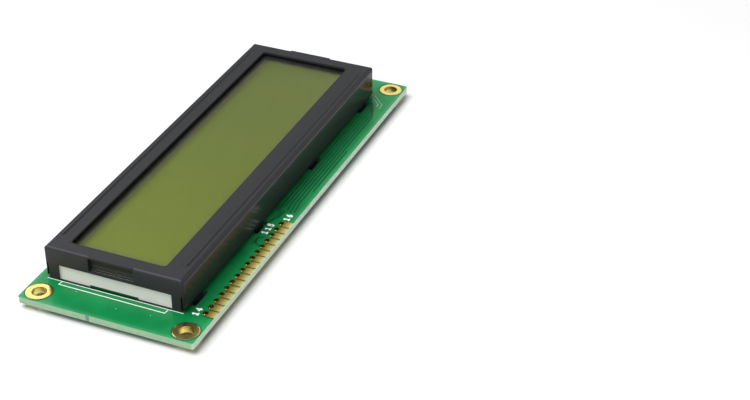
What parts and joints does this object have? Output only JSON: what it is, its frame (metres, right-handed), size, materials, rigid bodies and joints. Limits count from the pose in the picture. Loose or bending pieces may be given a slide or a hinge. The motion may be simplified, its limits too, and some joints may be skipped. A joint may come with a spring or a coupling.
{
  "type": "character lcd module",
  "caption": "Liquid crystal display module: backlit glass cell under a folded steel bezel on a circuit board, with plated header holes along one edge and a mounting hole in each corner.",
  "frame": {"origin": "centre of the four mounting holes, on the board's top face", "axes": "+X along the board's length, +Z towards the viewer, out of the display; the header holes lie along the -Y edge"},
  "size_m": [0.122, 0.044, 0.0117],
  "materials": {
    "board_green": "solder mask over glass-epoxy board",
    "bezel_black": "semi-gloss black paint on steel sheet",
    "gasket_foam": "black foam",
    "polarizer_film": "grey-green film",
    "cell_glass": "clear float glass",
    "cell_resin": "cured clear resin",
    "diffuser_plate": "milky plate, yellow-green when lit from outside",
    "housing_white": "white moulded plastic",
    "light_board": "white glass-epoxy board",
    "led_body": "white chip package",
    "strip_rubber": "layered silicone rubber",
    "gold_plating": "gold plating over copper",
    "resin_black": "cured black resin",
    "resistor_body": "black glaze between tinned ends",
    "capacitor_body": "tan ceramic between tinned ends",
    "pin_tin": "tinned wire",
    "solder": "bright solder"
  },
  "bodies": {
    "root": {"backlight_board": "light_board", "backlight_diffuser": "diffuser_plate", "backlight_housing": "housing_white", "backlight_pin_anode": "pin_tin", "backlight_pin_cathode": "pin_tin", "bezel": "bezel_black", "capacitor_1": "capacitor_body", "capacitor_2": "capacitor_body", "cell_fill_plug": "cell_resin", "cell_seal": "cell_resin", "chip_cover_1": "resin_black", "chip_cover_2": "resin_black", "display_contacts_far_side": "gold_plating", "display_contacts_header_side": "gold_plating", "front_glass": "cell_glass", "front_polarizer": "polarizer_film", "header_pad_01": "gold_plating", "header_pad_02": "gold_plating", "header_pad_03": "gold_plating", "header_pad_04": "gold_plating", "header_pad_05": "gold_plating", "header_pad_06": "gold_plating", "header_pad_07": "gold_plating", "header_pad_08": "gold_plating", "header_pad_09": "gold_plating", "header_pad_10": "gold_plating", "header_pad_11": "gold_plating", "header_pad_12": "gold_plating", "header_pad_13": "gold_plating", "header_pad_14": "gold_plating", "header_pad_15": "gold_plating", "header_pad_16": "gold_plating", "led_1": "led_body", "led_2": "led_body", "led_3": "led_body", "led_4": "led_body", "led_5": "led_body", "led_6": "led_body", "led_7": "led_body", "led_8": "led_body", "mounting_hole_plating_1": "gold_plating", "mounting_hole_plating_2": "gold_plating", "mounting_hole_plating_3": "gold_plating", "mounting_hole_plating_4": "gold_plating", "pcb": "board_green", "pin_solder_anode": "solder", "pin_solder_cathode": "solder", "rear_glass": "cell_glass", "rear_polarizer": "polarizer_film", "resistor_1": "resistor_body", "resistor_2": "resistor_body", "resistor_3": "resistor_body", "resistor_4": "resistor_body", "resistor_5": "resistor_body", "resistor_6": "resistor_body", "resistor_7": "resistor_body", "window_gasket": "gasket_foam", "zebra_strip_far_side": "strip_rubber", "zebra_strip_header_side": "strip_rubber"}
  },
  "joints": []
}
